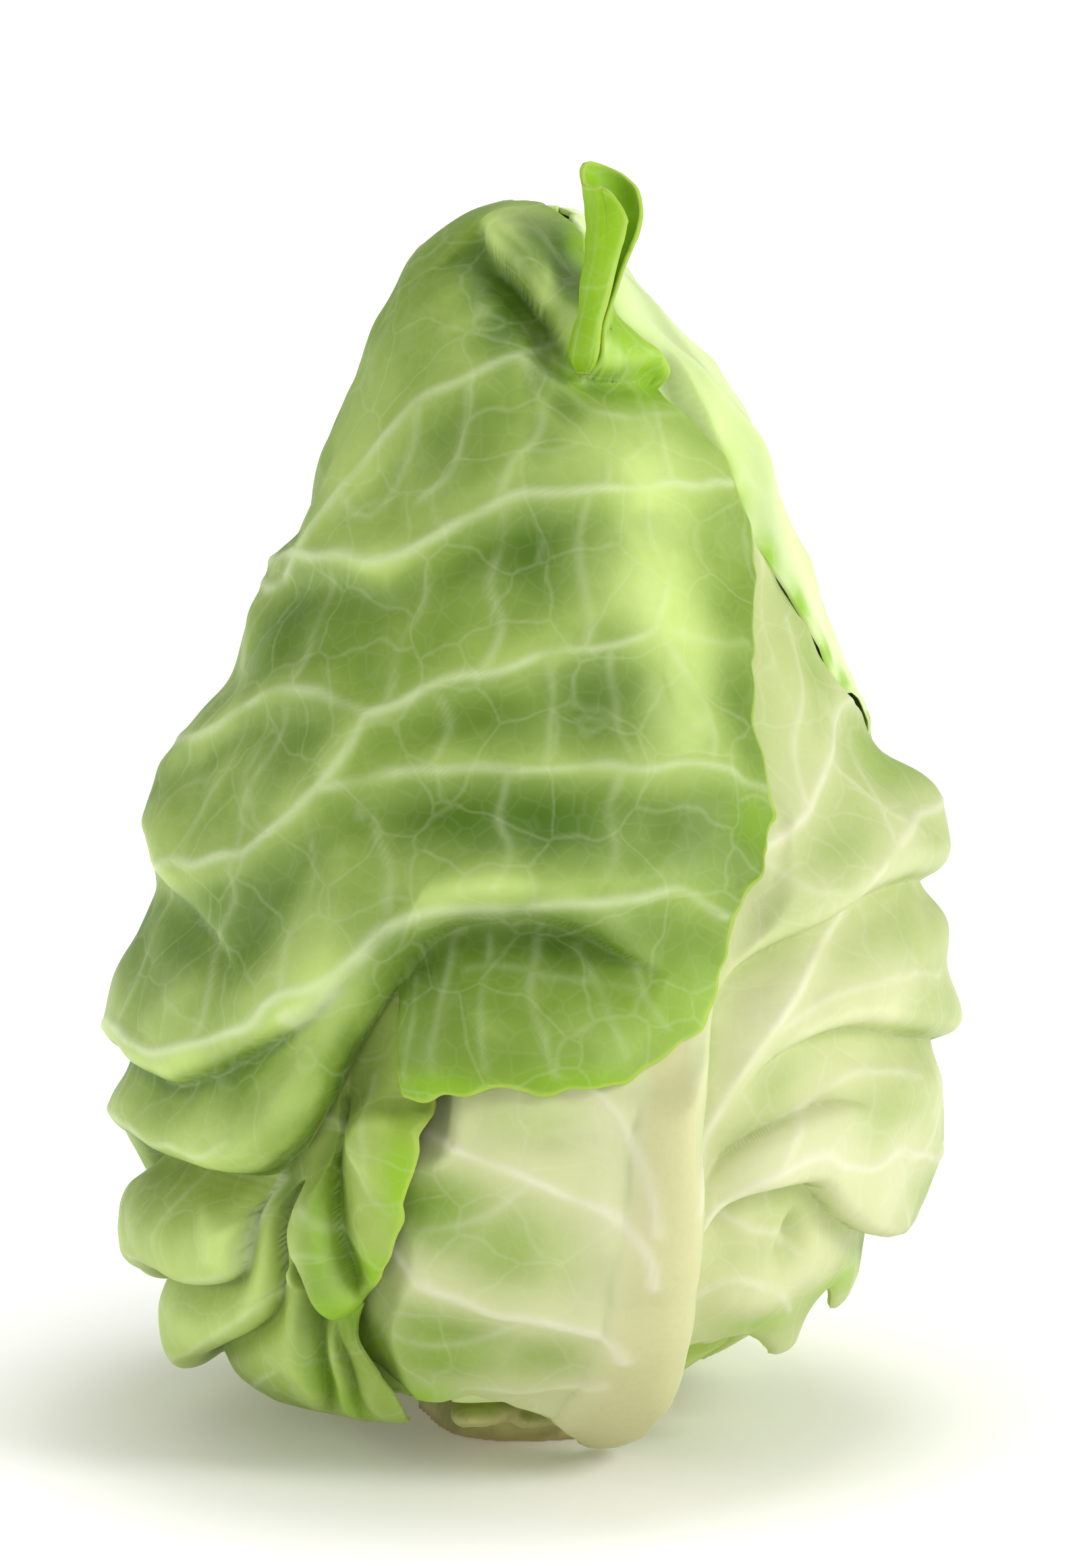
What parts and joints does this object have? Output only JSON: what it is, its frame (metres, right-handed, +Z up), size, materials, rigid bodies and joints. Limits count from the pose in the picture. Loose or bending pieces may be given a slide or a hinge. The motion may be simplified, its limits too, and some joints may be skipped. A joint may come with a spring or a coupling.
{
  "type": "cabbage head",
  "caption": "Pointed green cabbage head standing on its cut stalk, with crumpled wrapper leaves folded over a tight heart and a rolled leaf tip at the crown.",
  "frame": {"origin": "on the stalk's flat cut face, under the middle of the head, on the surface it stands on", "axes": "+Z up through the tip, -Y towards the front leaf as pictured, +X to the pale ribbed leaf"},
  "size_m": [0.1438, 0.1402, 0.2132],
  "materials": {
    "leaf_green": "waxy satin leaf, mid green with whitish green veins",
    "leaf_side": "waxy satin leaf, pale green",
    "leaf_low": "waxy satin leaf, yellow green",
    "leaf_pale": "waxy satin leaf, cream green with white ribs",
    "heart_yellow": "satin pale yellow green",
    "stalk_cream": "matt fibrous cut face, pale cream brown"
  },
  "bodies": {
    "root": {"front_leaf": "leaf_green", "side_leaf": "leaf_side", "low_leaf": "leaf_low", "rib_leaf": "leaf_pale", "heart": "heart_yellow", "stalk": "stalk_cream"}
  },
  "joints": []
}
